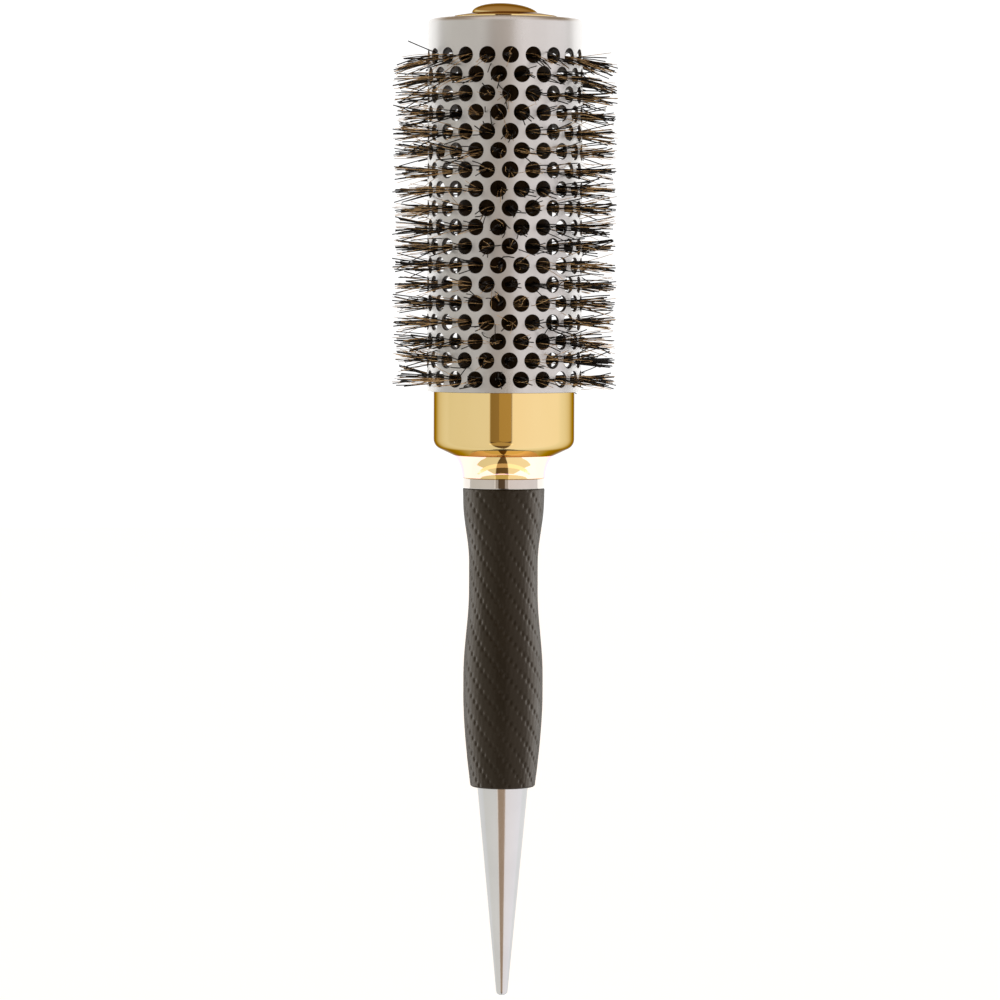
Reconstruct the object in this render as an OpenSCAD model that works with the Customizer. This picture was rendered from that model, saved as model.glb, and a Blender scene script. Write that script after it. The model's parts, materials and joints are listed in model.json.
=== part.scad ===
// Round vented barrel brush: a perforated metal barrel over a bristle core, a plated ferrule and collar,
// and a rubber-sleeved handle that ends in a tapered tail. Millimetres, +Z along the axis towards the head.
// The origin is on the axis, where the ferrule's lower end meets the collar ring.

/* [Barrel] */
// Outside diameter of the barrel
barrel_d = 43; // [42:0.5:46]
// Length of the barrel from its open lower edge to its closed end
barrel_len = 103.1; // [103:0.1:110]
// Thickness of the barrel's wall
barrel_wall = 0.8; // [0.6:0.1:1]
// Outer radius of the rolled upper edge
barrel_roll_r = 1.5; // [1.2:0.1:2.5]

/* [Vent holes] */
// Number of rows of holes, each row half a pitch round from the last
hole_rows = 18; // [4:2:18]
// Distance between rows
row_pitch = 5.22; // [5.1:0.02:5.3]
// Diameter of one hole
hole_d = 4.6; // [3.6:0.1:4.8]
// Height of the lowest row's centres above the barrel's lower edge
lowest_row = 3.6; // [3.5:0.1:4.5]

/* [Bristles] */
// How far the bristle tips stand out of the barrel
bristle_reach = 9.9; // [5:0.1:14]
// Diameter of a tuft where it is set in its strip
tuft_root_d = 1.5; // [1:0.1:1.6]
// Diameter of a tuft at its tips
tuft_tip_d = 3; // [1.6:0.1:3.4]

/* [End cap] */
// Diameter of the end cap's rim
cap_d = 28.8; // [26:0.2:32]
// Slope of the cap's skirt, in degrees
cap_slope = 10; // [6:1:14]
// Diameter of the domed button in the cap
button_d = 18.6; // [16:0.2:19]
// Height of the button's dome above its edge
button_dome = 2.15; // [1.5:0.05:3]
// How far the button is set askew, in degrees
button_tilt = 3.1; // [0:0.1:3.4]

/* [Ferrule and collar] */
// Diameter of the ferrule's cup
ferrule_d = 39.2; // [37:0.2:40]
// Diameter of the crease between the cup and the neck
crease_d = 27.6; // [26.6:0.1:29]
// Height of the crease above the collar
crease_z = 6.1; // [5.6:0.05:8]
// Diameter of the collar ring
collar_d = 23.28; // [23:0.04:24]
// Height of the collar ring
collar_h = 2.9; // [2:0.1:4]

/* [Grip] */
// Length of the rubber grip
grip_len = 83.5; // [75:0.1:95]
// Diameter of the grip at its top
grip_top_d = 22.8; // [22:0.1:23]
// Diameter of the grip at its waist
grip_waist_d = 19.2; // [18.6:0.1:21]
// Diameter of the grip at its belly
grip_belly_d = 22.2; // [20:0.1:24]
// Diameter of the grip at its bottom
grip_end_d = 18; // [17.6:0.1:20]

/* [Tail] */
// Length of the tail that shows below the grip
tail_len = 58.9; // [40:0.1:80]
// Diameter of the tail where it leaves the grip
tail_d = 14.2; // [12:0.1:14.6]
// Diameter of the tail just above its rounded tip
tail_tip_d = 3.3; // [2.6:0.1:5]

/* [Hidden] */
$fn = 96;
STRIPS = 21;
strip_names = [for (i = [1 : STRIPS]) str("bristle_strip_", i)];
tuft_names = [for (i = [1 : STRIPS]) str("tuft_row_", i)];

// Round the axis: one strip per hole of a row, and the even rows half a pitch behind the odd ones.
step = 360 / STRIPS;
stagger = step / 4;
first_strip = -90 - 0.5;

// Heights along the axis, from the ferrule up
barrel_z = 24;
barrel_r = barrel_d / 2;
barrel_in_r = barrel_r - barrel_wall;
barrel_top = barrel_z + barrel_len;
end_hole_r = 12.6;
row_z0 = barrel_z + lowest_row;

// The flange that closes the barrel's open end, on top of the ferrule
fit = 0.05;
flange_z = barrel_z - 0.1;
flange_h = 1;

// The core and its strips
rod_r = 5;
core_r = 10.4;
core_z = flange_z + flange_h;
strip_in_r = core_r + fit;
strip_r = 13.2;
strip_gap = 0.1;
tongue_w = 1.2;
tongue_depth = 1;
ring_wall = 0.5;
ring_lap = 1.2;
strip_z = core_z + ring_wall + fit;
strip_top = barrel_top - 6.2;
socket_depth = 1.2;

// The end cap, from the barrel's end face up
cap_r = cap_d / 2;
rim_h = 0.85;
spigot_r = end_hole_r - fit;
spigot_depth = 4;
recess_r = button_d / 2 + 0.2;
recess_z = barrel_top + 0.75;
button_edge_h = 0.9;
button_z = recess_z + 0.65;
pad_r = 7;
screw_r = 1.5;
screw_len = 15;
screw_head_r = 2.8;
screw_head_h = 1.7;
washer_r = 3;
washer_h = 0.5;
well_r = 3.2;
well_z = recess_z - washer_h - screw_head_h - 0.15;

// The ferrule
ferrule_r = ferrule_d / 2;
ferrule_wall = 0.8;
bowl_slope = 25;
bowl_corner_r = 3;
crease_r = crease_d / 2;
collar_r = collar_d / 2;
neck_r = collar_r - 0.07;
// Width of the shoulder on the neck that the cup rests on
neck_lap = 1.2;
// Radius of the arc that leaves the collar upright and meets the crease
neck_arc_r = (pow(crease_z, 2) + pow(crease_r - neck_r, 2)) / (2 * (crease_r - neck_r));

// The handle
shoulder_r = 8;
tang_r = 7.6;
rod_top = 62;
grip_z = -collar_h;
grip_end_z = grip_z - grip_len;
tang_end_z = grip_end_z + 1.2;
stud_r = 2.5;
stud_depth = 14;
tail_flat_r = 1;
tip_round_r = tail_tip_d / 2 - 0.35;
edge_r = 0.25;

function strip_angle(i) = first_strip + i * step;
// Counted from the head end, odd rows lie ahead of their strip's middle and even rows behind it.
function row_turn(row) = (row % 2 == 1 ? 1 : -1) * stagger;
// An arc of n steps about (cx, cy)
function arc(cx, cy, r, a0, a1, n = 12) =
    [for (i = [0 : n]) let (a = a0 + (a1 - a0) * i / n) [cx + r * cos(a), cy + r * sin(a)]];
// A soft step from a to b as t goes from 0 to 1
function ease(a, b, t) = a + (b - a) * (1 - cos(180 * t)) / 2;

// ---------- head ----------

module barrel_shell() {
    roll_in_r = barrel_roll_r - barrel_wall;
    roll_z = barrel_top - barrel_roll_r;
    rotate_extrude() polygon(concat(
        [[barrel_in_r, barrel_z], [barrel_r, barrel_z]],
        arc(barrel_r - barrel_roll_r, roll_z, barrel_roll_r, 0, 90, 8),
        [[end_hole_r, barrel_top], [end_hole_r, barrel_top - barrel_wall]],
        arc(barrel_r - barrel_roll_r, roll_z, roll_in_r, 90, 0, 8)));
}

module barrel_tube() color("silver") difference() {
    barrel_shell();
    for (row = [0 : hole_rows - 1], i = [0 : STRIPS - 1])
        rotate([0, 0, strip_angle(i) + row_turn(hole_rows - row)])
            translate([barrel_in_r - 1.2, 0, row_z0 + row * row_pitch])
                rotate([0, 90, 0]) cylinder(d = hole_d, h = barrel_wall + 2.4);
}

module end_cap() {
    skirt_z = barrel_top + rim_h;
    inner_z = skirt_z + (cap_r - recess_r) * tan(cap_slope);
    color("goldenrod") difference() {
        rotate_extrude() polygon([
            [0, barrel_top - spigot_depth], [spigot_r, barrel_top - spigot_depth],
            [spigot_r, barrel_top], [cap_r, barrel_top], [cap_r, skirt_z - 0.2],
            [cap_r - 0.2, skirt_z], [recess_r, inner_z], [0, inner_z]]);
        translate([0, 0, recess_z]) cylinder(r = recess_r, h = 5);
        translate([0, 0, well_z]) cylinder(r = well_r, h = 5);
        translate([0, 0, barrel_top - spigot_depth - 1]) cylinder(r = screw_r, h = 10);
    }
}

// The button and the pad under it share one tilted frame.
module askew() translate([0, 0, button_z]) rotate([0, button_tilt, 0]) children();

module cap_button() {
    button_r = button_d / 2;
    ball_r = (pow(button_r, 2) + pow(button_dome, 2)) / (2 * button_dome);
    color("gold") askew() rotate_extrude() intersection() {
        translate([0, button_edge_h + button_dome - ball_r]) circle(r = ball_r, $fn = 400);
        square([button_r, button_edge_h + button_dome]);
    }
}

module adhesive_pad() color("white") difference() {
    translate([0, 0, recess_z]) cylinder(r = pad_r, h = 1.5);
    askew() translate([-20, -20, 0]) cube([40, 40, 5]);
}

module cap_screw() color("dimgray") difference() {
    union() {
        translate([0, 0, well_z + washer_h]) cylinder(r = screw_head_r, h = screw_head_h);
        translate([0, 0, well_z + washer_h - screw_len]) cylinder(r = screw_r, h = screw_len);
    }
    for (turn = [0, 90])
        rotate([0, 0, turn]) translate([-1.6, -0.3, well_z + washer_h + screw_head_h - 0.9]) cube([3.2, 0.6, 2]);
}

module cap_washer() color("silver") difference() {
    translate([0, 0, well_z]) cylinder(r = washer_r, h = washer_h);
    translate([0, 0, well_z - 1]) cylinder(r = screw_r, h = 3);
}

module bristle_core() color("#2a1d14") difference() {
    core_top = barrel_top - spigot_depth;
    translate([0, 0, core_z]) cylinder(r = core_r, h = core_top - core_z);
    translate([0, 0, core_z - 1]) cylinder(r = rod_r, h = rod_top - core_z + 1.5);
    translate([0, 0, core_top - screw_len]) cylinder(r = screw_r, h = screw_len + 1);
    for (i = [0 : STRIPS - 1])
        rotate([0, 0, strip_angle(i)])
            translate([core_r - tongue_depth - 2 * fit, -tongue_w / 2 - fit, core_z - 1])
                cube([3, tongue_w + 2 * fit, core_top]);
}

// One strip is a stave of the ring round the core, with a tongue in the core's groove.
module bristle_strip(i) {
    half = step / 2;
    far = strip_r * 1.5;
    gap = strip_gap / 2;
    color("#3a2818") rotate([0, 0, strip_angle(i)]) difference() {
        union() {
            translate([0, 0, strip_z]) intersection() {
                difference() {
                    cylinder(r = strip_r, h = strip_top - strip_z);
                    translate([0, 0, -1]) cylinder(r = strip_in_r, h = strip_top);
                }
                linear_extrude(strip_top - strip_z) polygon([
                    [gap / sin(half), 0],
                    [far, far * tan(half) - gap / cos(half)],
                    [far, gap / cos(half) - far * tan(half)]]);
            }
            translate([core_r - tongue_depth, -tongue_w / 2, strip_z])
                cube([tongue_depth + 0.5, tongue_w, strip_top - strip_z]);
        }
        for (row = [0 : hole_rows - 1])
            rotate([0, 0, row_turn(hole_rows - row)])
                translate([strip_r - socket_depth, 0, row_z0 + row * row_pitch])
                    rotate([0, 90, 0]) cylinder(d = tuft_root_d, h = socket_depth + 1);
    }
}

// A tuft's straight root fills its socket, and its bristles spread from there to their tips.
module tuft() rotate([0, 90, 0]) rotate_extrude() polygon([
    [0, strip_r - socket_depth], [tuft_root_d / 2, strip_r - socket_depth], [tuft_root_d / 2, strip_r],
    [tuft_tip_d / 2, barrel_r + bristle_reach - 0.4], [tuft_tip_d / 2 - 0.4, barrel_r + bristle_reach],
    [0, barrel_r + bristle_reach]]);

module tuft_row(i) color("#1d140d")
    for (row = [0 : hole_rows - 1])
        translate([0, 0, row_z0 + row * row_pitch])
            rotate([0, 0, strip_angle(i) + row_turn(hole_rows - row)]) tuft();

// A shallow cup over the strips' ends, with its open side towards them
module strip_ring(z, up) color("#241a12") translate([0, 0, z]) mirror([0, 0, up ? 0 : 1]) difference() {
    translate([0, 0, -ring_wall]) cylinder(r = strip_r + fit + ring_wall, h = ring_wall + ring_lap);
    cylinder(r = strip_r + fit, h = 10);
    translate([0, 0, -5]) cylinder(r = core_r + fit, h = 10);
}

module upper_strip_ring() strip_ring(strip_top + fit, false);
module lower_strip_ring() strip_ring(strip_z - fit, true);

// ---------- ferrule and collar ----------

module head_plug() {
    skirt_r = ferrule_r - ferrule_wall - 0.1;
    skirt_z = crease_z + 5.6;
    hub_r = neck_r - ferrule_wall - 0.1;
    rib_w = 1.6;
    color("#202020") difference() {
        union() {
            translate([0, 0, flange_z]) cylinder(r = barrel_in_r - fit, h = flange_h);
            translate([0, 0, skirt_z]) difference() {
                cylinder(r = skirt_r, h = flange_z - skirt_z + 0.5);
                translate([0, 0, -1]) cylinder(r = skirt_r - 1.5, h = flange_z - skirt_z + 1.5);
            }
            translate([0, 0, 0.2]) cylinder(r = hub_r, h = flange_z);
            for (turn = [0 : 60 : 300])
                rotate([0, 0, turn]) translate([rod_r + 2, -rib_w / 2, skirt_z])
                    cube([skirt_r - 1 - rod_r - 2, rib_w, flange_z - skirt_z + 0.5]);
        }
        translate([0, 0, -1]) cylinder(r = rod_r, h = 40);
        translate([0, 0, flange_z + flange_h]) cylinder(r = 30, h = 5);
    }
}

// The cup's wall turns through a rounded corner into a cone that ends on the neck's shoulder.
module ferrule() {
    slope_top = crease_z + (ferrule_r - crease_r) * tan(bowl_slope);
    wall_in = ferrule_r - ferrule_wall;
    corner_in_r = bowl_corner_r - ferrule_wall;
    corner_z = slope_top + bowl_corner_r * tan((90 - bowl_slope) / 2);
    mouth_r = crease_r - neck_lap;
    mouth_z = crease_z + ferrule_wall / cos(bowl_slope) - neck_lap * tan(bowl_slope);
    color("gold") rotate_extrude() polygon(concat(
        [[mouth_r, crease_z], [crease_r, crease_z]],
        arc(ferrule_r - bowl_corner_r, corner_z, bowl_corner_r, bowl_slope - 90, 0, 8),
        [[ferrule_r, flange_z], [wall_in, flange_z]],
        arc(ferrule_r - bowl_corner_r, corner_z, corner_in_r, 0, bowl_slope - 90, 8),
        [[mouth_r, mouth_z]]));
}

// The neck flares up to the cup, and its spigot stands in the cup's mouth.
module ferrule_neck() {
    bore_r = neck_r - ferrule_wall;
    spigot_h = 1.2;
    color("gold") rotate_extrude() polygon(concat(
        arc(neck_r + neck_arc_r, 0, neck_arc_r, 180, 180 - asin(crease_z / neck_arc_r)),
        [[crease_r - neck_lap - fit, crease_z], [crease_r - neck_lap - fit, crease_z + spigot_h],
         [bore_r, crease_z + spigot_h], [bore_r, 0]]));
}

module collar_ring() color("gainsboro") rotate_extrude() polygon([
    [shoulder_r, 0], [collar_r - edge_r, 0], [collar_r, -edge_r], [collar_r, edge_r - collar_h],
    [collar_r - edge_r, -collar_h], [shoulder_r, -collar_h]]);

// ---------- handle ----------

module handle_rod() color("dimgray") difference() {
    union() {
        translate([0, 0, -1]) cylinder(r = rod_r, h = rod_top + 1);
        translate([0, 0, -collar_h]) cylinder(r = shoulder_r, h = collar_h);
        translate([0, 0, tang_end_z]) cylinder(r = tang_r, h = grip_z - tang_end_z + 0.5);
    }
    translate([0, 0, tang_end_z - 1]) cylinder(r = stud_r, h = stud_depth + 1.5);
}

// Heights of the grip's stations as shares of its length from the top
function grip_r(t) =
    t < 0.04 ? ease(grip_top_d, grip_top_d - 0.2, t / 0.04) / 2
    : t < 0.25 ? ease(grip_top_d - 0.2, grip_waist_d, (t - 0.04) / 0.21) / 2
    : t < 0.34 ? grip_waist_d / 2
    : t < 0.63 ? ease(grip_waist_d, grip_belly_d, (t - 0.34) / 0.29) / 2
    : t < 0.7 ? grip_belly_d / 2
    : (grip_belly_d - (grip_belly_d - grip_end_d) * pow((t - 0.7) / 0.3, 1.6)) / 2;

module grip_sleeve() {
    steps = 48;
    end_r = 0.3;
    color("#33291f") rotate_extrude() polygon(concat(
        [[tang_r, grip_z], [grip_top_d / 2 - end_r, grip_z]],
        [for (i = [0 : steps - 1]) let (t = 0.004 + i * 0.992 / steps) [grip_r(t), grip_z - t * grip_len]],
        [[grip_r(1) + 0.05, grip_end_z + end_r], [grip_r(1) - end_r, grip_end_z], [tang_r, grip_end_z]]));
}

module tail_stud() color("silver")
    translate([0, 0, tang_end_z - stud_depth + 2]) cylinder(r = stud_r, h = 2 * stud_depth - 3);

module tail_cone() {
    tip_z = grip_end_z - tail_len;
    taper = (tail_d - tail_tip_d) / 2 / (tail_len - tip_round_r);
    color("silver") difference() {
        rotate_extrude() polygon(concat(
            [[0, tang_end_z], [tail_d / 2, tang_end_z], [tail_d / 2, grip_end_z]],
            arc(tail_tip_d / 2 - tip_round_r, tip_z + tip_round_r, tip_round_r, -atan(taper), -90, 8),
            [[0, tip_z]]));
        translate([0, 0, tang_end_z - stud_depth + 2]) cylinder(r = stud_r, h = stud_depth);
    }
}

barrel_tube();
end_cap();
cap_button();
adhesive_pad();
cap_screw();
cap_washer();
bristle_core();
upper_strip_ring();
lower_strip_ring();
head_plug();
ferrule();
ferrule_neck();
collar_ring();
handle_rod();
grip_sleeve();
tail_stud();
tail_cone();
for (i = [0 : STRIPS - 1]) {
    bristle_strip(i);
    tuft_row(i);
}
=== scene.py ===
import json
import math

import bpy
import numpy as np
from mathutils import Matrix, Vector


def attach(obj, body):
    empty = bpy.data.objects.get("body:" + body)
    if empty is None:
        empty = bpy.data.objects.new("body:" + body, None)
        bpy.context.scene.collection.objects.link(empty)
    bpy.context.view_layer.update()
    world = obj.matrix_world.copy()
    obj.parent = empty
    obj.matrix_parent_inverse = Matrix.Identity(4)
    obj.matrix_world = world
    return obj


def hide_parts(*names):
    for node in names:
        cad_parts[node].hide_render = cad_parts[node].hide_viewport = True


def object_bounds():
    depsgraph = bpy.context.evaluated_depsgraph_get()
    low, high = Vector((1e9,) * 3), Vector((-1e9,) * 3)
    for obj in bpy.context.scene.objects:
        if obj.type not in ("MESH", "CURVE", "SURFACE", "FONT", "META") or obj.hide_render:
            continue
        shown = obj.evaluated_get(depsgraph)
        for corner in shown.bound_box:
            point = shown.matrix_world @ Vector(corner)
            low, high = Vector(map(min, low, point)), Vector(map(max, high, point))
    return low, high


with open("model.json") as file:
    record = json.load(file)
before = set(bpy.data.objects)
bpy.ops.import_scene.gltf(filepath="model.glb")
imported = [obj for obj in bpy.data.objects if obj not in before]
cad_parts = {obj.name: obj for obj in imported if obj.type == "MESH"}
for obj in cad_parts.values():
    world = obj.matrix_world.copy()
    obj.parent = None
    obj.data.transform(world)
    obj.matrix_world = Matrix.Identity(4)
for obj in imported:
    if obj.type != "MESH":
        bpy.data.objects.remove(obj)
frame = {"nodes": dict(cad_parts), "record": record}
start_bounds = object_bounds()
nodes = frame["nodes"]
STRIPS = 21
rng = np.random.default_rng(719)

# ---------------------------------------------------------------- node trees


class Tree:
    """Short calls for one node tree: t.add("ShaderNodeMath", {0: a, 1: b}, operation="ADD")."""

    def __init__(self, tree):
        self.tree = tree
        tree.nodes.clear()

    def add(self, kind, inputs=None, **props):
        node = self.tree.nodes.new(kind)
        for key, value in props.items():
            setattr(node, key, value)
        for key, value in (inputs or {}).items():
            if isinstance(value, bpy.types.NodeSocket):
                self.tree.links.new(value, node.inputs[key])
            else:
                node.inputs[key].default_value = value
        return node

    def math(self, operation, a, b=0.0):
        return self.add("ShaderNodeMath", {0: a, 1: b}, operation=operation).outputs[0]

    def noise(self, scale, detail=3.0, stretch=None):
        vector = self.add("ShaderNodeTexCoord").outputs["Object"]
        if stretch:
            vector = self.add("ShaderNodeMapping", {"Vector": vector, "Scale": stretch}).outputs[0]
        made = self.add("ShaderNodeTexNoise", {"Vector": vector, "Scale": scale, "Detail": detail})
        return made.outputs["Fac"]

    def remap(self, value, low, high, start=0.3, end=0.7):
        made = self.add("ShaderNodeMapRange", {
            "Value": value, "From Min": start, "From Max": end, "To Min": low, "To Max": high})
        return made.outputs[0]

    def mix(self, share, a, b):
        made = self.add("ShaderNodeMix", data_type="RGBA")
        for socket, value in ((0, share), (6, a), (7, b)):
            if isinstance(value, bpy.types.NodeSocket):
                self.tree.links.new(value, made.inputs[socket])
            else:
                made.inputs[socket].default_value = value
        return made.outputs[2]

    def bump(self, height, strength, distance):
        inputs = {"Height": height, "Strength": strength, "Distance": distance}
        return self.add("ShaderNodeBump", inputs).outputs[0]

    def surface(self, **inputs):
        shader = self.add("ShaderNodeBsdfPrincipled", {k.replace("_", " "): v for k, v in inputs.items()})
        self.add("ShaderNodeOutputMaterial", {"Surface": shader.outputs[0]})


def rgb(r, g, b):
    return (r, g, b, 1.0)


def material(name):
    made = bpy.data.materials.new(name)
    made.use_nodes = True
    return made, Tree(made.node_tree)


# ---------------------------------------------------------------- materials


def barrel_coating():
    """Satin silver-grey ceramic paint over aluminium, with a fine grain and faint handling marks."""
    made, t = material("barrel_coating")
    cloud = t.noise(45.0, 4.0)
    grain = t.noise(4200.0, 2.0)
    scuff = t.remap(t.noise(160.0, 6.0, stretch=(1, 1, 0.15)), 0.0, 1.0, 0.52, 0.72)
    tone = t.mix(t.remap(cloud, 0.0, 1.0), rgb(0.55, 0.547, 0.543), rgb(0.61, 0.604, 0.598))
    tone = t.mix(t.math("MULTIPLY", scuff, 0.35), tone, rgb(0.65, 0.65, 0.648))
    rough = t.math("ADD", t.remap(grain, 0.3, 0.36), t.math("MULTIPLY", scuff, -0.05))
    t.surface(Base_Color=tone, Metallic=0.92, Roughness=rough,
              Normal=t.bump(grain, 0.12, 0.00003))
    return made


def gold_trim(name="gold_trim", glancing_shade=(0.22, 0.12, 0.028), tint=(0.45, 0.27, 0.09)):
    """Bright gold finish: mirror-like, with faint wiping marks, and painted shade that darkens its colour
    at grazing angles.
    """
    made, t = material(name)
    smear = t.noise(90.0, 5.0, stretch=(1, 1, 0.25))
    fine = t.noise(1400.0, 3.0, stretch=(0.08, 0.08, 1))
    facing = t.add("ShaderNodeLayerWeight", {"Blend": 0.5}).outputs["Facing"]
    # Painted shade: toward grazing angles the colour is mixed into a darker tone, by the facing mask.
    edge = t.remap(facing, 0.0, 1.0, 0.62, 0.93)
    tone = t.mix(t.remap(smear, 0.0, 1.0), rgb(0.97, 0.765, 0.37), rgb(0.95, 0.735, 0.34))
    tone = t.mix(t.math("MULTIPLY", edge, 0.9), tone, rgb(*glancing_shade))
    t.surface(Base_Color=tone, Metallic=1.0, Specular_Tint=rgb(*tint),
              Roughness=t.remap(smear, 0.03, 0.06), Normal=t.bump(fine, 0.03, 0.00002))
    return made


def chrome():
    """Polished plate with hairline turning marks round the ring."""
    made, t = material("chrome")
    turning = t.noise(2600.0, 3.0, stretch=(0.03, 0.03, 1))
    smear = t.noise(220.0, 4.0)
    tone = t.mix(t.remap(smear, 0.0, 1.0), rgb(0.65, 0.61, 0.565), rgb(0.7, 0.66, 0.62))
    t.surface(Base_Color=tone, Metallic=1.0, Roughness=t.remap(smear, 0.03, 0.07),
              Normal=t.bump(turning, 0.05, 0.00002))
    return made


def tail_metal():
    """Satin-polished aluminium with lengthwise polishing lines and a few small marks."""
    made, t = material("tail_metal")
    lines = t.noise(1900.0, 4.0, stretch=(1, 1, 0.02))
    cloud = t.noise(70.0, 4.0)
    tone = t.mix(t.remap(cloud, 0.0, 1.0), rgb(0.71, 0.725, 0.745), rgb(0.77, 0.785, 0.805))
    rough = t.math("ADD", t.remap(lines, 0.1, 0.15), t.remap(cloud, 0.0, 0.04))
    t.surface(Base_Color=tone, Metallic=1.0, Roughness=rough, Normal=t.bump(lines, 0.06, 0.00003))
    return made


def steel():
    """Zinc-plated steel of the hidden fixings."""
    made, t = material("steel")
    cloud = t.noise(900.0, 4.0)
    tone = t.mix(t.remap(cloud, 0.0, 1.0), rgb(0.5, 0.5, 0.52), rgb(0.64, 0.64, 0.65))
    t.surface(Base_Color=tone, Metallic=1.0, Roughness=t.remap(cloud, 0.24, 0.36),
              Normal=t.bump(cloud, 0.1, 0.00004))
    return made


def rod_aluminium():
    """Turned aluminium of the rod inside the handle."""
    made, t = material("rod_aluminium")
    turning = t.noise(1600.0, 3.0, stretch=(0.04, 0.04, 1))
    tone = t.mix(t.remap(turning, 0.0, 1.0), rgb(0.58, 0.58, 0.6), rgb(0.68, 0.68, 0.69))
    t.surface(Base_Color=tone, Metallic=1.0, Roughness=t.remap(turning, 0.25, 0.38),
              Normal=t.bump(turning, 0.15, 0.00004))
    return made


def core_plastic():
    """Dark brown moulded plastic of the core and its strips, a little dusty."""
    made, t = material("core_plastic")
    cloud = t.noise(240.0, 5.0)
    grain = t.noise(3000.0, 2.0)
    tone = t.mix(t.remap(cloud, 0.0, 1.0), rgb(0.007, 0.004, 0.0015), rgb(0.034, 0.018, 0.007))
    t.surface(Base_Color=tone, Roughness=t.remap(cloud, 0.4, 0.6), Specular_IOR_Level=0.2,
              Specular_Tint=rgb(1.0, 0.7, 0.4), Normal=t.bump(grain, 0.2, 0.00005))
    return made


def adhesive_foam():
    """Open-celled white foam of the pad under the button."""
    made, t = material("adhesive_foam")
    cells = t.noise(5200.0, 4.0)
    tone = t.mix(t.remap(cells, 0.0, 1.0), rgb(0.62, 0.61, 0.56), rgb(0.82, 0.81, 0.76))
    t.surface(Base_Color=tone, Roughness=t.remap(cells, 0.75, 0.95), Normal=t.bump(cells, 0.6, 0.0001))
    return made


def grip_rubber():
    """Matt brown-black rubber with a little dust and a fine mould grain."""
    made, t = material("grip_rubber")
    cloud = t.noise(120.0, 5.0)
    grain = t.noise(5200.0, 3.0, stretch=(1, 1, 0.3))
    tone = t.mix(t.remap(cloud, 0.0, 1.0), rgb(0.016, 0.0125, 0.0075), rgb(0.021, 0.0168, 0.011))
    dust = t.remap(grain, 0.0, 1.0, 0.5, 0.8)
    tone = t.mix(t.math("MULTIPLY", dust, 0.3), tone, rgb(0.038, 0.032, 0.026))
    t.surface(Base_Color=tone, Roughness=t.remap(cloud, 0.36, 0.46), Specular_IOR_Level=0.3,
              Specular_Tint=rgb(1.0, 0.87, 0.74), Normal=t.bump(grain, 0.2, 0.00004))
    return made


def bristle(name, dark, light, rough):
    """One kind of bristle, with its tone changing from hair to hair and along each hair."""
    made, t = material(name)
    along = t.noise(420.0, 3.0)
    grain = t.noise(6000.0, 2.0)
    tone = t.mix(t.remap(along, 0.0, 1.0, 0.38, 0.62), dark, light)
    t.surface(Base_Color=tone, Roughness=t.remap(grain, rough - 0.05, rough + 0.05),
              Specular_IOR_Level=0.3, Normal=t.bump(grain, 0.15, 0.00002))
    return made


# ---------------------------------------------------------------- the CAD nodes

FINISHES = {
    "barrel_coating": barrel_coating, "gold_trim": gold_trim, "chrome": chrome, "steel": steel,
    "tail_metal": tail_metal, "rod_aluminium": rod_aluminium, "core_plastic": core_plastic,
    "adhesive_foam": adhesive_foam, "grip_rubber": grip_rubber}
TUFT_ROWS = [f"tuft_row_{number}" for number in range(1, STRIPS + 1)]
REBUILT = ["cap_button", "grip_sleeve", "ferrule", "ferrule_neck"] + TUFT_ROWS


def paint_nodes(finishes):
    """Gives every CAD node that stays in the picture the finish of its slot in the record."""
    for part in frame["record"]["subparts"]:
        if part["node"] in REBUILT:
            continue
        obj = nodes[part["node"]]
        for i in range(max(1, len(obj.material_slots))):
            if not obj.material_slots:
                obj.data.materials.append(None)
            obj.material_slots[i].link = "OBJECT"
            obj.material_slots[i].material = finishes[part["material_slot"]]


def add_piece(name, verts, faces, materials, node, face_materials=None):
    """Makes a mesh piece that stands for a CAD node and rides on the one body."""
    mesh = bpy.data.meshes.new(name)
    mesh.from_pydata(verts, [], faces)
    for m in materials:
        mesh.materials.append(m)
    if face_materials is not None:
        mesh.polygons.foreach_set("material_index", face_materials)
    mesh.polygons.foreach_set("use_smooth", [True] * len(mesh.polygons))
    mesh.update()
    obj = bpy.data.objects.new(name, mesh)
    bpy.context.scene.collection.objects.link(obj)
    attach(obj, "root")
    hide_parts(node)
    return obj


def points(node):
    mesh = nodes[node].data
    co = np.empty(len(mesh.vertices) * 3)
    mesh.vertices.foreach_get("co", co)
    return co.reshape(-1, 3)


# ---------------------------------------------------------------- ferrule

TURNED_SIDES = 192
# How far from a corner the extra points stand, and the angle in degrees from which a corner stays sharp
SUPPORT = 0.0002
TURNED_CORNER = 18
# The neck's painted shade at grazing angles, paler than the cup's
NECK_EDGE_SHADE = (0.72, 0.385, 0.32)
NECK_TINT = (1, 0.9, 0.8)


def profile(node):
    """The closed outline, radius and height, of a turned CAD node, in order round the section."""
    mesh, co = nodes[node].data, points(node)
    cut = (np.abs(co[:, 1]) < 1e-7) & (co[:, 0] > 0)
    near = {}
    for edge in mesh.edges:
        a, b = edge.vertices
        if cut[a] and cut[b]:
            ends = [(round(float(co[v, 0]), 5), round(float(co[v, 2]), 5)) for v in (a, b)]
            if ends[0] != ends[1]:
                near.setdefault(ends[0], set()).add(ends[1])
                near.setdefault(ends[1], set()).add(ends[0])
    start = min(near)
    loop, last, spot = [start], None, start
    while True:
        onward = sorted(n for n in near[spot] if n != last)
        last, spot = spot, onward[0]
        if spot == start:
            return loop
        loop.append(spot)


def supported(loop):
    """The outline with extra points close to the ends of its long sides, which keep them straight."""
    made = []
    for (r0, z0), (r1, z1) in zip(loop, loop[1:] + loop[:1]):
        made.append((r0, z0))
        span = math.hypot(r1 - r0, z1 - z0)
        if span > 6 * SUPPORT:
            for share in (SUPPORT / span, 0.5, 1 - SUPPORT / span):
                made.append((r0 + (r1 - r0) * share, z0 + (z1 - z0) * share))
    return made


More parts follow.
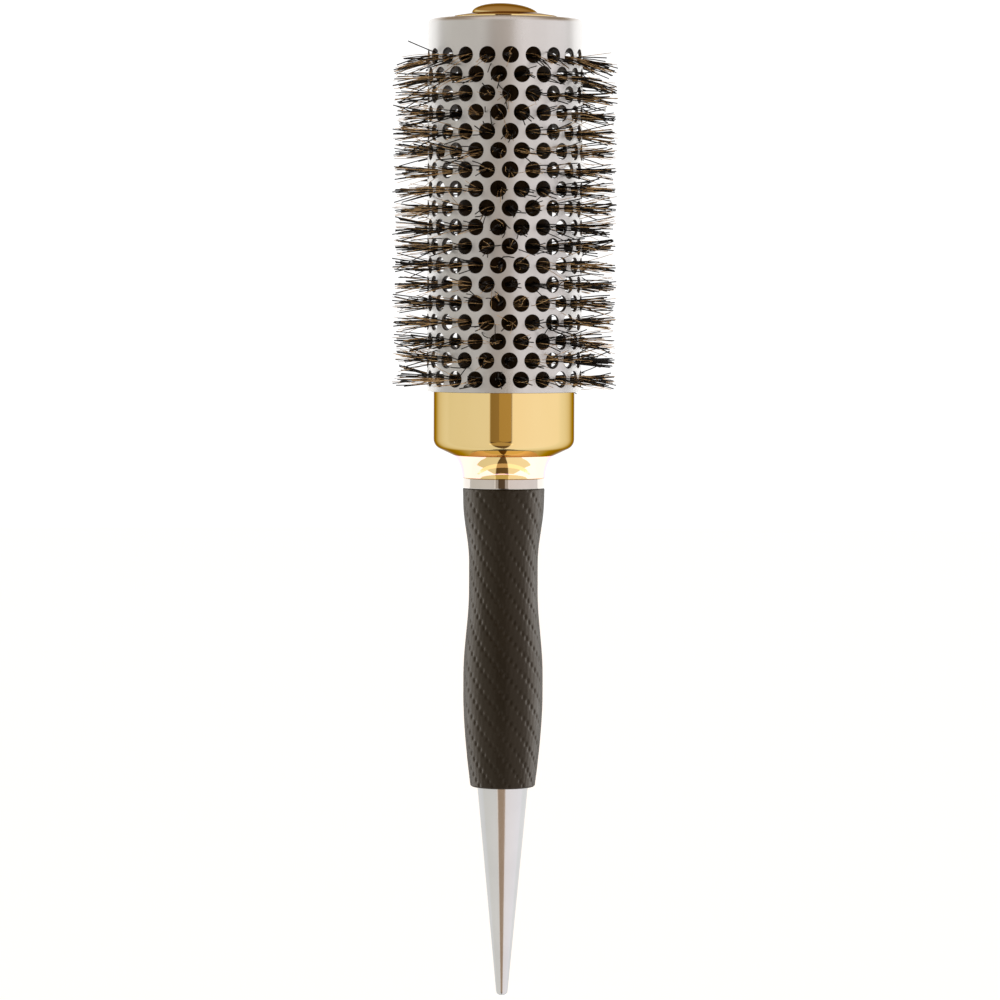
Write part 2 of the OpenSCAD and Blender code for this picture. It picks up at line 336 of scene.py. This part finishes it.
def build_turned(node, name, gold):
    """A turned piece of the ferrule, with its curves shaded smooth and its corners sharp."""
    outline = supported(profile(node))
    area = sum(r0 * z1 - r1 * z0 for (r0, z0), (r1, z1) in zip(outline, outline[1:] + outline[:1]))
    if area < 0:
        outline.reverse()
    turn = [2 * math.pi * k / TURNED_SIDES for k in range(TURNED_SIDES)]
    verts = [(r * math.cos(t), r * math.sin(t), z) for r, z in outline for t in turn]
    faces = []
    for row in range(len(outline)):
        a, b = row * TURNED_SIDES, (row + 1) % len(outline) * TURNED_SIDES
        for k in range(TURNED_SIDES):
            n = (k + 1) % TURNED_SIDES
            faces.append((a + k, a + n, b + n, b + k))
    piece = add_piece(name, verts, faces, [gold], node)
    piece.data.set_sharp_from_angle(angle=math.radians(TURNED_CORNER))


# ---------------------------------------------------------------- cap button

BUTTON_SIDES = 128
BUTTON_RINGS = 24
BUTTON_CORNER = 50


def button_axes():
    """The middle of the button's flat side, its two directions across and its axis, radius and rise."""
    p = points("cap_button")
    middle = p.mean(axis=0)
    across, along, axis = np.linalg.svd(p - middle, full_matrices=False)[2]
    axis = axis * math.copysign(1.0, axis[2])
    height, a, b = (p - middle) @ axis, (p - middle) @ across, (p - middle) @ along
    radius = (a.max() - a.min() + b.max() - b.min()) / 4
    foot = middle + across * (a.max() + a.min()) / 2 + along * (b.max() + b.min()) / 2 + axis * height.min()
    return foot, across, along, axis, radius, height.max() - height.min()


def build_button(gold):
    """The askew domed button, with its dome rounding over into its edge."""
    foot, across, along, axis, radius, rise = button_axes()
    verts, faces = [], []
    for ring in range(BUTTON_RINGS):
        slope = math.pi / 2 * ring / BUTTON_RINGS
        for k in range(BUTTON_SIDES):
            t = 2 * math.pi * k / BUTTON_SIDES
            out = across * math.cos(t) + along * math.sin(t)
            verts.append(foot + out * radius * math.cos(slope) + axis * rise * math.sin(slope))
    verts += [foot + axis * rise, foot]
    top, under = len(verts) - 2, len(verts) - 1
    last = (BUTTON_RINGS - 1) * BUTTON_SIDES
    for k in range(BUTTON_SIDES):
        n = (k + 1) % BUTTON_SIDES
        for ring in range(BUTTON_RINGS - 1):
            r, up = ring * BUTTON_SIDES, (ring + 1) * BUTTON_SIDES
            faces.append((r + k, r + n, up + n, up + k))
        faces += [(last + k, last + n, top), (n, k, under)]
    if np.dot(np.cross(across, along), axis) < 0:
        faces = [tuple(reversed(f)) for f in faces]
    piece = add_piece("cap_dome", verts, faces, [gold], "cap_button")
    piece.data.set_sharp_from_angle(angle=math.radians(BUTTON_CORNER))


# ---------------------------------------------------------------- grip

WEAVE_STRANDS = 52
WEAVE_PICKS = 4
WEAVE_PERIOD = 0.0059
WEAVE_DEPTH = 0.00025
# Depth of the seams between strands as a share of a pit's, and the height over which the weave fades
# out at the sleeve's two ends
SEAM_DEPTH = 0.1
WEAVE_FADE = 0.0008
# Points further than this outside the bore are on the skin, and points this close in height are one ring
SLEEVE_WALL = 0.0005
SAME_HEIGHT = 2e-6
STRAND_STEPS = 6
ROW_STEP = 0.0003


def weave(strand, height):
    """Depth below the grip's skin, 0 to 1, of a flush weave: each upright strand dips in a short pit under
    every fourth pick, one pick lower in each strand to the right."""
    pick = height / WEAVE_PERIOD * WEAVE_PICKS
    i, j = np.floor(strand), np.floor(pick)
    across, along = strand - i, pick - j
    seam = SEAM_DEPTH * (1 - np.sin(np.pi * across))
    pit = np.sin(np.pi * across) * np.sqrt(np.sin(np.pi * np.clip(along, 0, 1)))
    return np.where(np.mod(i + j, WEAVE_PICKS) == 0, np.maximum(pit, seam), seam)


def sleeve_outline():
    """Even heights up the CAD sleeve, its outer radius at each of them, and its bore's radius."""
    p = points("grip_sleeve")
    radius = np.hypot(p[:, 0], p[:, 1])
    bore = radius.min()
    outer = radius > bore + SLEEVE_WALL
    order = np.argsort(p[outer, 2])
    zs, rs = p[outer, 2][order], radius[outer][order]
    heights = np.linspace(zs[0], zs[-1], int((zs[-1] - zs[0]) / ROW_STEP))
    level = np.unique(np.round(zs, 6))
    skin = np.array([rs[np.abs(zs - z) < SAME_HEIGHT].max() for z in level])
    return heights, np.interp(heights, level, skin), bore


def build_grip(rubber):
    """The rubber sleeve with its embossed weave, turned from the CAD sleeve's own profile."""
    heights, outline, bore = sleeve_outline()
    bottom, top = heights[0], heights[-1]
    around = WEAVE_STRANDS * STRAND_STEPS
    turn = np.arange(around) * 2 * math.pi / around
    strand = np.arange(around) / STRAND_STEPS
    fade = np.clip(np.minimum(heights - bottom, top - heights) / WEAVE_FADE, 0, 1)
    verts, faces = [], []
    for z, r, f in zip(heights, outline, fade):
        rr = r - WEAVE_DEPTH * f * weave(strand, np.full(around, z - bottom))
        verts += [(a * math.cos(t), a * math.sin(t), z) for a, t in zip(rr, turn)]
    rows = len(heights)
    for z in (top, bottom):
        verts += [(bore * math.cos(t), bore * math.sin(t), z) for t in turn]
    upper, lower = rows * around, (rows + 1) * around
    for k in range(around):
        n = (k + 1) % around
        for row in range(rows - 1):
            a, b = row * around, (row + 1) * around
            faces.append((a + k, a + n, b + n, b + k))
        last = (rows - 1) * around
        faces.append((last + k, last + n, upper + n, upper + k))
        faces.append((lower + k, lower + n, n, k))
        faces.append((upper + k, upper + n, lower + n, lower + k))
    add_piece("grip_skin", verts, faces, [rubber], "grip_sleeve")


# ---------------------------------------------------------------- bristles

BRISTLE_SIDES = 5
BRISTLE_RINGS = 5
FEWEST_HAIRS, MOST_HAIRS = 7, 9
NYLON_SHARE = 0.58
NYLON_RADIUS = (0.00014, 0.00018)
HAIR_RADIUS = (0.00009, 0.00013)
NYLON_TAPER = 0.95
HAIR_TAPER = 0.6
# The part of the hairs that stray from their tuft, and how much further they spread and bend
STRAY_SHARE = 0.13
STRAY_SPREAD = 2.6
STRAY_BEND = 2.2
STRAY_SHORTER = 0.0007
# How wide a tuft is in its socket, and the usual lean, spread, bend and shortening of its hairs
SOCKET_RADIUS = 0.00055
TUFT_LEAN = 0.0008
HAIR_SPREAD = 0.0011
SPREAD_LIMIT = 0.0065
HAIR_BEND = 0.0004
HAIR_SHORTER = 0.0012
# The brush's outer radius, which no hair passes, and the least gap between two tufts of a row
TIP_LIMIT = 0.03138
TUFT_GAP = 0.001
# How far the tips hang below their sockets, along most of the barrel and more in the top rows
DROOP = 0.0003
TOP_DROOP = 0.003
TOP_DROOP_SPAN = 0.009


def tufts_of(node):
    """Height, turn, root radius and tip radius of each tuft solid in a CAD node."""
    p = points(node)
    p = p[np.argsort(p[:, 2])]
    cuts = np.where(np.diff(p[:, 2]) > TUFT_GAP)[0] + 1
    found = []
    for group in np.split(p, cuts):
        radius = np.hypot(group[:, 0], group[:, 1])
        mean = group[:, :2].mean(axis=0)
        found.append(((group[:, 2].min() + group[:, 2].max()) / 2, math.atan2(mean[1], mean[0]),
                      radius.min(), radius.max()))
    return found


def tube(path, thick):
    """A round hair along a path of points, closed at both ends."""
    sides = BRISTLE_SIDES
    path = np.array(path)
    ahead = np.gradient(path, axis=0)
    ahead /= np.linalg.norm(ahead, axis=1)[:, None]
    up = np.array([0.0, 0.0, 1.0])
    side = np.cross(ahead, up)
    side /= np.linalg.norm(side, axis=1)[:, None]
    lift = np.cross(side, ahead)
    turn = np.arange(sides) * 2 * math.pi / sides
    ring = np.cos(turn)[None, :, None] * side[:, None, :] + np.sin(turn)[None, :, None] * lift[:, None, :]
    verts = (path[:, None, :] + ring * np.array(thick)[:, None, None]).reshape(-1, 3)
    faces = []
    for k in range(len(path) - 1):
        for s in range(sides):
            n = (s + 1) % sides
            faces.append((k * sides + s, k * sides + n, (k + 1) * sides + n, (k + 1) * sides + s))
    faces.append(tuple(reversed(range(sides))))
    last = (len(path) - 1) * sides
    faces.append(tuple(last + s for s in range(sides)))
    return verts, faces


def hair(height, turn, root, tip, lean, droop, stray):
    """The path of one bristle: straight out of its socket, then leaning, bending and drooping."""
    out = np.array([math.cos(turn), math.sin(turn), 0.0])
    side = np.array([-math.sin(turn), math.cos(turn), 0.0])
    up = np.array([0.0, 0.0, 1.0])
    spot = rng.uniform(0, 2 * math.pi)
    start = SOCKET_RADIUS * math.sqrt(rng.uniform())
    spread = lean + rng.normal(0, HAIR_SPREAD, 2) * (STRAY_SPREAD if stray else 1.0)
    spread = np.clip(spread, -SPREAD_LIMIT, SPREAD_LIMIT)
    bend = rng.normal(0, HAIR_BEND, 2) * (STRAY_BEND if stray else 1.0)
    length = tip - root - abs(rng.normal(0, HAIR_SHORTER)) - (STRAY_SHORTER if stray else 0.0)
    path = []
    for k in range(BRISTLE_RINGS + 1):
        t = k / BRISTLE_RINGS
        ease = t * t * (1.5 - 0.5 * t)
        a = start * math.cos(spot) + spread[0] * ease + bend[0] * math.sin(math.pi * t)
        b = start * math.sin(spot) + spread[1] * ease + bend[1] * math.sin(math.pi * t) - droop * t * t
        flat = out * (root + length * t) + side * a
        path.append(flat * min(1.0, TIP_LIMIT / np.linalg.norm(flat)) + up * (height + b))
    return path


def build_tufts(number, top_row, black, tan):
    """Every bristle of one strip: thick black nylon and thin brown hair, mixed in each tuft."""
    node = f"tuft_row_{number}"
    verts, faces, kinds = [], [], []
    for height, turn, root, tip in tufts_of(node):
        lean = rng.normal(0, TUFT_LEAN, 2)
        below = (top_row - height) / TOP_DROOP_SPAN
        droop = DROOP + TOP_DROOP * math.exp(-below * below) * rng.uniform(0.6, 1.3)
        for _ in range(int(rng.integers(FEWEST_HAIRS, MOST_HAIRS + 1))):
            nylon = rng.uniform() < NYLON_SHARE
            stray = rng.uniform() < STRAY_SHARE
            path = hair(height, turn, root, min(tip, TIP_LIMIT), lean, droop, stray)
            thick = rng.uniform(*(NYLON_RADIUS if nylon else HAIR_RADIUS))
            end = thick * (NYLON_TAPER if nylon else HAIR_TAPER)
            made, ring = tube(path, np.linspace(thick, end, len(path)))
            base = len(verts)
            verts.extend(made.tolist())
            faces.extend(tuple(base + v for v in f) for f in ring)
            kinds.extend([0 if nylon else 1] * len(ring))
    add_piece(f"bristles_{number}", verts, faces, [black, tan], node, kinds)


# ---------------------------------------------------------------- stage, light and camera


FLOOR_SIDES = 96
FLOOR_RINGS = [0.02, 0.06, 0.15, 0.4, 1.0, 2.4]
FLOOR_GLOW = 0.75


def build_floor():
    """A wide pale floor under the tail's tip."""
    low, sides = start_bounds[0].z, FLOOR_SIDES
    verts = [(0, 0, low)]
    for r in FLOOR_RINGS:
        verts += [(r * math.cos(2 * math.pi * s / sides), r * math.sin(2 * math.pi * s / sides), low)
                  for s in range(sides)]
    faces = [(0, 1 + s, 1 + (s + 1) % sides) for s in range(sides)]
    for k in range(len(FLOOR_RINGS) - 1):
        a, b = 1 + k * sides, 1 + (k + 1) * sides
        faces += [(a + s, b + s, b + (s + 1) % sides, a + (s + 1) % sides) for s in range(sides)]
    mesh = bpy.data.meshes.new("floor")
    mesh.from_pydata(verts, [], faces)
    made, t = material("floor")
    cloud = t.noise(3.0, 3.0)
    tone = t.mix(t.remap(cloud, 0.0, 1.0), rgb(0.9, 0.9, 0.9), rgb(0.93, 0.93, 0.925))
    t.surface(Base_Color=tone, Roughness=t.remap(cloud, 0.8, 0.9), Emission_Color=rgb(1, 1, 1),
              Emission_Strength=FLOOR_GLOW)
    mesh.materials.append(made)
    obj = bpy.data.objects.new("floor", mesh)
    obj.visible_glossy = False
    bpy.context.scene.collection.objects.link(obj)


# Where the studio's light comes from, by angle round the object from the camera's side: two large
# panels with a darker gap between them.
LIGHT_STOPS = [
    (-180, (0.85, 0.84, 0.82)), (-108, (0.8, 0.78, 0.75)), (-100, (0.76, 0.73, 0.67)),
    (-24, (0.79, 0.75, 0.7)), (-22, (0.1, 0.062, 0.03)), (-12, (0.12, 0.075, 0.04)),
    (12, (0.14, 0.09, 0.05)), (14, (0.95, 0.87, 0.84)), (100, (0.97, 0.92, 0.92)),
    (108, (0.9, 0.88, 0.86)), (180, (0.85, 0.84, 0.82))]
# The ceiling's tone, the slope (sine) over which the panels give way to it, and the backdrop's level
CEILING = (0.36, 0.24, 0.13)
CEILING_FROM, CEILING_TO = 0.36, 0.52
BACKDROP = 1.1


def build_light():
    """The studio all round: panels and a ceiling in the reflections, and a plain pale backdrop."""
    world = bpy.data.worlds.new("studio")
    bpy.context.scene.world = world
    world.use_nodes = True
    t = Tree(world.node_tree)
    ray = t.add("ShaderNodeTexCoord").outputs["Generated"]
    split = t.add("ShaderNodeSeparateXYZ", {0: ray})
    x, y, z = split.outputs
    angle = t.math("ARCTAN2", x, t.math("MULTIPLY", y, -1.0))
    share = t.math("ADD", t.math("DIVIDE", angle, 2 * math.pi), 0.5)
    ramp = t.add("ShaderNodeValToRGB", {0: share})
    stops = ramp.color_ramp.elements
    while len(stops) < len(LIGHT_STOPS):
        stops.new(0.5)
    for stop, (degrees, colour) in zip(stops, LIGHT_STOPS):
        stop.position = degrees / 360 + 0.5
        stop.color = rgb(*colour)
    sky = t.mix(t.remap(z, 0.0, 1.0, CEILING_FROM, CEILING_TO), ramp.outputs[0], rgb(*CEILING))
    seen = t.add("ShaderNodeLightPath").outputs["Is Camera Ray"]
    sky = t.mix(seen, sky, rgb(BACKDROP, BACKDROP, BACKDROP))
    back = t.add("ShaderNodeBackground", {"Color": sky, "Strength": 1.0})
    t.add("ShaderNodeOutputWorld", {"Surface": back.outputs[0]})


# Soft lights that reach only the pieces named, because each piece stands before its own part of the
# studio: turn from the camera's side, height and half width in degrees, level and tint.
SOFT_LIGHTS = [
    ("barrel_back_left", ["barrel_tube"], -151, 2, 32, 0.75, (1, 1, 1)),
    ("barrel_back_right", ["barrel_tube"], 151, 2, 32, 0.75, (1, 1, 1)),
    ("barrel_middle", ["barrel_tube"], -4, 0, 18, 0.5, (0.98, 0.9, 0.82)),
    ("barrel_right", ["barrel_tube"], 58, 0, 44, 0.19, (1, 0.97, 0.95)),
    ("barrel_rim", ["barrel_tube"], 0, 60, 42, 0.6, (0.95, 0.95, 1)),
    ("ring_back_left", ["collar_ring"], -143, 2, 36, 0.6, (1, 1, 1)),
    ("ring_back_right", ["collar_ring"], 143, 2, 36, 0.6, (1, 1, 1)),
    ("ring_left", ["collar_ring"], -20, -2, 5, 0.4, (1, 0.95, 0.88)),
    ("ring_right", ["collar_ring"], 9, -2, 5.5, 0.45, (1, 0.93, 0.88)),
    ("ferrule_gap", ["ferrule_cup"], -6, 0, 18, 0.15, (1, 0.68, 0.2)),
    ("ferrule_gap_right", ["ferrule_cup"], 2, 0, 10, 0.14, (1, 0.68, 0.2)),
    ("ferrule_gap_low", ["ferrule_cup"], -5, -34, 18, 0.3, (1, 0.72, 0.3)),
    ("neck_gap", ["ferrule_flare"], -5, -3, 20, 0.42, (1, 0.86, 0.4)),
    ("tail_gap", ["tail_cone"], -6, -13, 20, 0.3, (1, 0.72, 0.52)),
    ("grip_left", ["grip_skin"], -108, 0, 26, 2.8, (1, 0.99, 0.97)),
    ("grip_right", ["grip_skin"], 108, 0, 26, 3.1, (1, 0.99, 0.98))]
COOL, WARM = (0.5, 0.36, 1.0), (0.75, 0.52, 0.32)
# Light from the table that is mirrored again, from this ray depth on, keeps this share of its strength.
MIRRORED_TWICE = 2.5
MIRRORED_SHARE = 0.28
# The white table seen from the neck: corners (x, y) of each bright sheet, its level and its tint.
TABLE = [
    (-2.5, -0.02, 2.5, 3.5, 1.6, COOL),
    (-2.5, -0.5, -0.2, -0.02, 1.6, COOL),
    (0.2, -0.5, 2.5, -0.02, 1.6, COOL),
    (-0.2, -0.5, 0.2, -0.4, 1.6, COOL),
    (-0.6, -0.18, 0.6, -0.11, 0.6, WARM)]


def light(name, kind, pieces, turned):
    """A lamp that reaches only the pieces named."""
    data = bpy.data.lights.new(name, kind)
    obj = bpy.data.objects.new(name, data)
    lit = bpy.data.collections.new(name + "_reach")
    for piece in pieces:
        lit.objects.link(nodes[piece] if piece in nodes else bpy.data.objects[piece])
    obj.rotation_mode = "QUATERNION"
    obj.rotation_quaternion = turned.to_track_quat("Z", "Y")
    obj.light_linking.receiver_collection = lit
    bpy.context.scene.collection.objects.link(obj)
    return obj, data


def build_soft_lights():
    """The soft lights listed above, each as wide as its half width says."""
    for name, pieces, turn, height, half, level, tint in SOFT_LIGHTS:
        a, e = math.radians(turn), math.radians(height)
        towards = Vector((math.sin(a) * math.cos(e), -math.cos(a) * math.cos(e), math.sin(e)))
        _, data = light(name, "SUN", pieces, towards)
        data.angle = math.radians(2 * half)
        data.color = tint
        data.energy = level * math.pi * math.sin(math.radians(half)) ** 2


def build_table():
    """The bright sheets below the neck, each an upward lamp that reaches the neck only."""
    for number, (x0, y0, x1, y1, level, tint) in enumerate(TABLE, 1):
        obj, data = light(f"table_{number}", "AREA", ["ferrule_flare"], Vector((0, 0, -1)))
        data.shape = "RECTANGLE"
        data.size, data.size_y = x1 - x0, y1 - y0
        data.energy = level * math.pi * (x1 - x0) * (y1 - y0)
        obj.location = ((x0 + x1) / 2, (y0 + y1) / 2, start_bounds[0].z)
        data.use_nodes = True
        t = Tree(data.node_tree)
        depth = t.add("ShaderNodeLightPath").outputs["Ray Depth"]
        near = t.math("LESS_THAN", depth, MIRRORED_TWICE)
        strength = t.math("ADD", t.math("MULTIPLY", near, 1 - MIRRORED_SHARE), MIRRORED_SHARE)
        glow = t.add("ShaderNodeEmission", {"Color": rgb(*tint), "Strength": strength})
        t.add("ShaderNodeOutputLight", {"Surface": glow.outputs[0]})


# The camera: its place in metres, how far it looks down and leans in degrees, and its lens in mm.
EYE_HEIGHT = 0.0541
EYE_DISTANCE = 1.24
EYE_SIDE = -0.00125
PITCH = 2.791
ROLL = -0.217
LENS = 160.3
SENSOR = 36.0


def build_camera():
    data = bpy.data.cameras.new("camera")
    data.lens = LENS
    data.sensor_width = SENSOR
    data.clip_start, data.clip_end = 0.05, 50.0
    obj = bpy.data.objects.new("camera", data)
    obj.location = (EYE_SIDE, -EYE_DISTANCE, EYE_HEIGHT)
    obj.rotation_mode = "XYZ"
    obj.rotation_euler = (math.radians(90 - PITCH), math.radians(ROLL), 0)
    bpy.context.scene.collection.objects.link(obj)
    bpy.context.scene.camera = obj


def main():
    finishes = {name: make() for name, make in FINISHES.items()}
    paint_nodes(finishes)
    build_turned("ferrule", "ferrule_cup", finishes["gold_trim"])
    build_turned("ferrule_neck", "ferrule_flare", gold_trim("gold_flare", NECK_EDGE_SHADE, NECK_TINT))
    build_button(finishes["gold_trim"])
    build_grip(finishes["grip_rubber"])
    black = bristle("bristle_nylon", rgb(0.0012, 0.0008, 0.0005), rgb(0.006, 0.004, 0.0025), 0.45)
    tan = bristle("bristle_hair", rgb(0.22, 0.12, 0.045), rgb(0.82, 0.57, 0.28), 0.5)
    top_row = max(tuft[0] for node in TUFT_ROWS for tuft in tufts_of(node))
    for number in range(1, STRIPS + 1):
        build_tufts(number, top_row, black, tan)
    build_floor()
    build_light()
    build_soft_lights()
    build_table()
    build_camera()
    bpy.context.scene.view_settings.view_transform = "Standard"


main()
